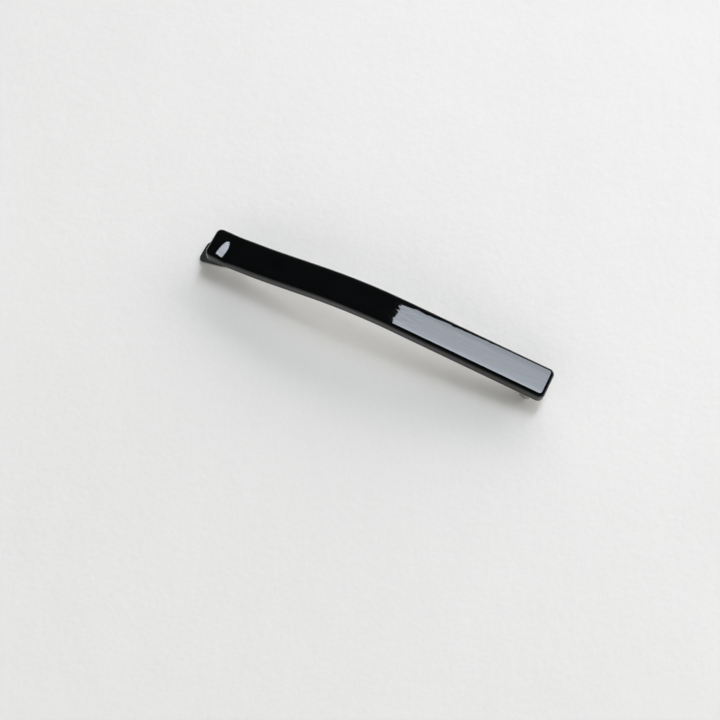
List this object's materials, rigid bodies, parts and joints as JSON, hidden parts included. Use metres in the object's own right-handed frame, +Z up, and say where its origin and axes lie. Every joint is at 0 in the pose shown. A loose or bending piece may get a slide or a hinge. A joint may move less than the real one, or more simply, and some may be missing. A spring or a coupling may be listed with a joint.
{
  "type": "barrette",
  "caption": "Slim bent acetate bar barrette on a sprung metal clip, with a hinged arm, a pinch catch and a finger tab.",
  "frame": {"origin": "middle of the footprint, on the surface that the closed clip lies on", "axes": "+X runs along the bar from the catch end to the hinge end, +Y across the bar, +Z up, away from the clip"},
  "size_m": [0.0848, 0.0076, 0.0102],
  "materials": {
    "black_acetate": "polished",
    "plated_steel": "nickel plated",
    "spring_steel": "nickel plated, drawn",
    "rivet_steel": "satin"
  },
  "bodies": {
    "bar_body": {"bar": "black_acetate", "base_plate": "plated_steel", "catch_plate": "spring_steel", "spring_leaf": "spring_steel", "hinge_pin": "rivet_steel", "rivet_catch_end": "rivet_steel", "rivet_hinge_end": "rivet_steel"},
    "arm_body": {"arm": "plated_steel"},
    "wing_front_body": {"catch_wing_front": "spring_steel"},
    "wing_back_body": {"catch_wing_back": "spring_steel"}
  },
  "joints": [
    {"name": "arm_hinge", "type": "hinge", "parent": "bar_body", "child": "arm_body", "pos_m": [0.03795, 0, 0.0012], "axis": [0, -1, 0], "range_deg": [0, 70]},
    {"name": "wing_front_pinch", "type": "hinge", "parent": "bar_body", "child": "wing_front_body", "pos_m": [-0.032, -0.00097, 0.00354], "axis": [0.9993, 0, 0.0369], "range_deg": [0, 10], "stiffness_Nm_per_rad": 0.02},
    {"name": "wing_back_pinch", "type": "hinge", "parent": "bar_body", "child": "wing_back_body", "pos_m": [-0.032, 0.00097, 0.00354], "axis": [-0.9993, 0, -0.0369], "range_deg": [0, 10], "stiffness_Nm_per_rad": 0.02}
  ]
}
